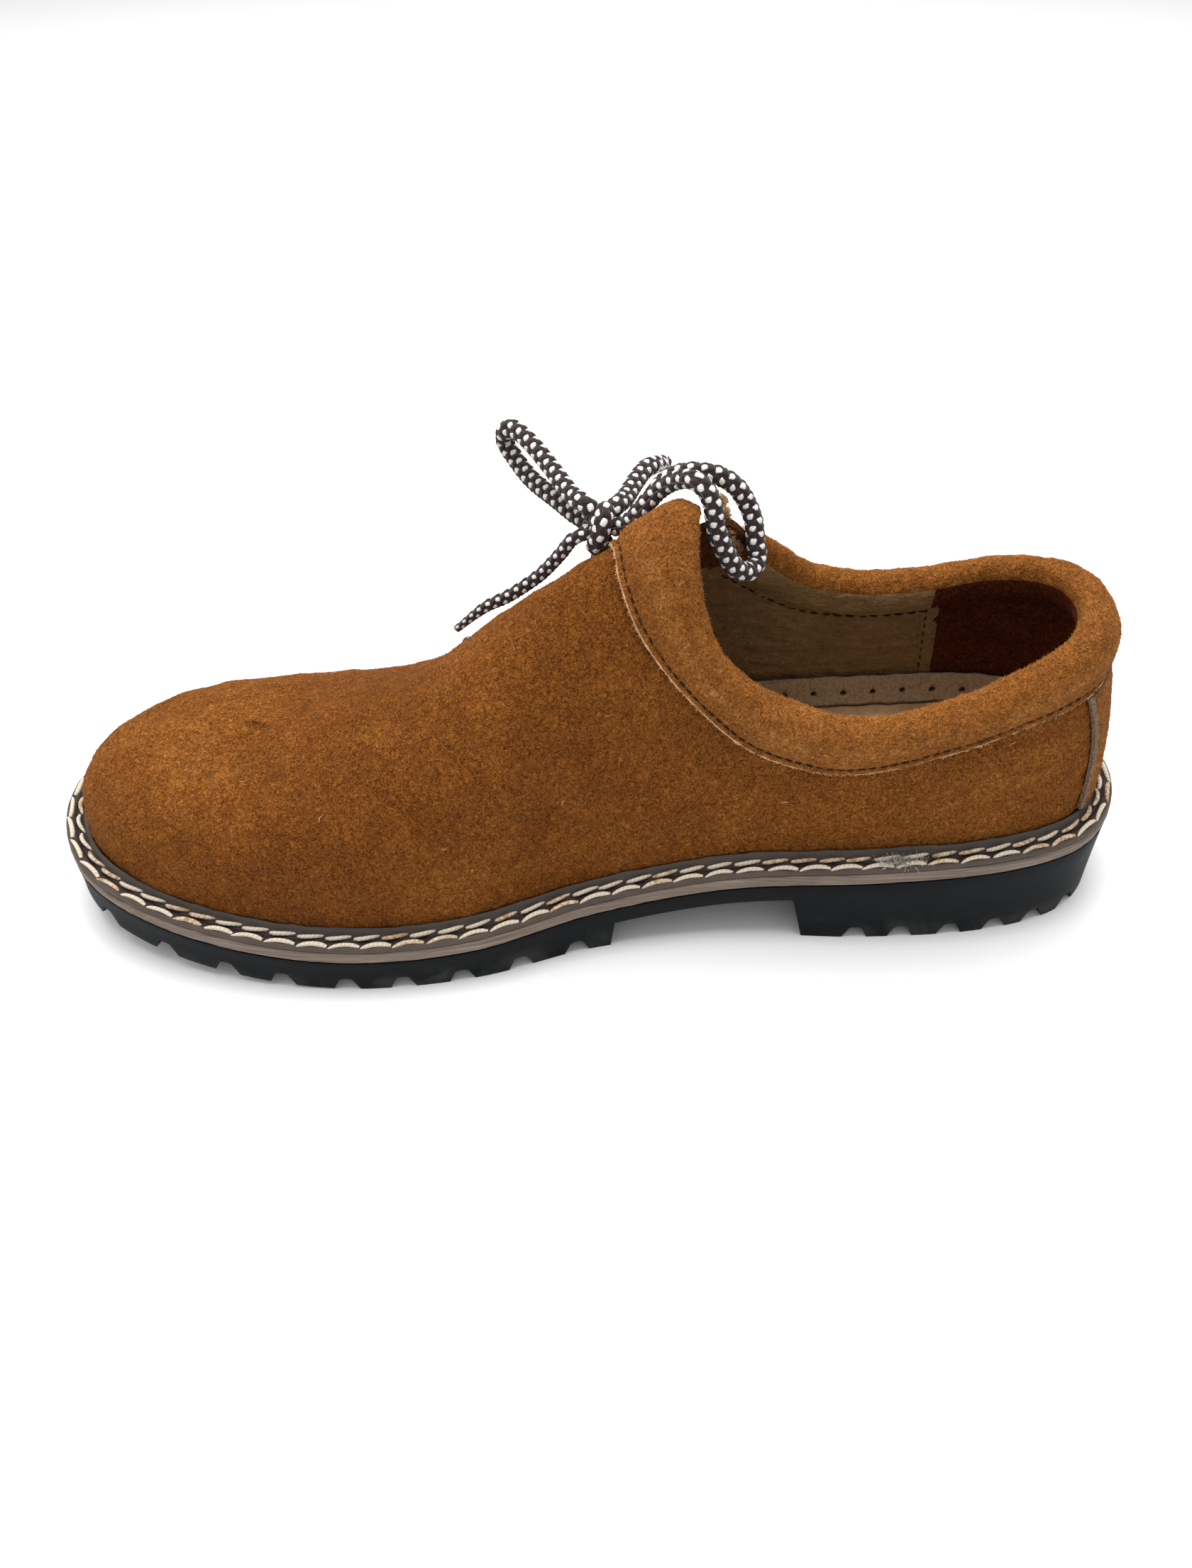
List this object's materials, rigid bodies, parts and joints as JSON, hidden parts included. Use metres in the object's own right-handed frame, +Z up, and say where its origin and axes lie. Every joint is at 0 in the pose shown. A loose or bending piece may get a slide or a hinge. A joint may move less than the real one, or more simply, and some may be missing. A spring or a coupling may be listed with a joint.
{
  "type": "traditional shoe",
  "caption": "Low alpine lace-up shoe for the right foot: brown suede upper laced at the side, padded collar, stitched welt and lugged rubber sole.",
  "frame": {"origin": "centre of the sole's outline, on the ground under the shoe", "axes": "+Z up, +X towards the heel (toe towards -X), -Y towards the medial side of the foot"},
  "size_m": [0.3, 0.1026, 0.1225],
  "materials": {
    "suede": "napped suede",
    "collar_suede": "napped suede, paler",
    "black_rubber": "satin",
    "taupe_midsole": "matt, buffed edge",
    "welt": "matt, stitched",
    "footbed_leather": "smooth, matt",
    "lace": "braided"
  },
  "bodies": {
    "root": {"outsole": "black_rubber", "midsole": "taupe_midsole", "welt": "welt", "insole": "footbed_leather", "upper": "suede", "collar": "collar_suede", "backstay": "suede", "tongue": "suede", "lace_bars": "lace", "lace_knot": "lace", "lace_loop_front": "lace", "lace_loop_back": "lace", "lace_end_front": "lace", "lace_end_back": "lace"}
  },
  "joints": []
}
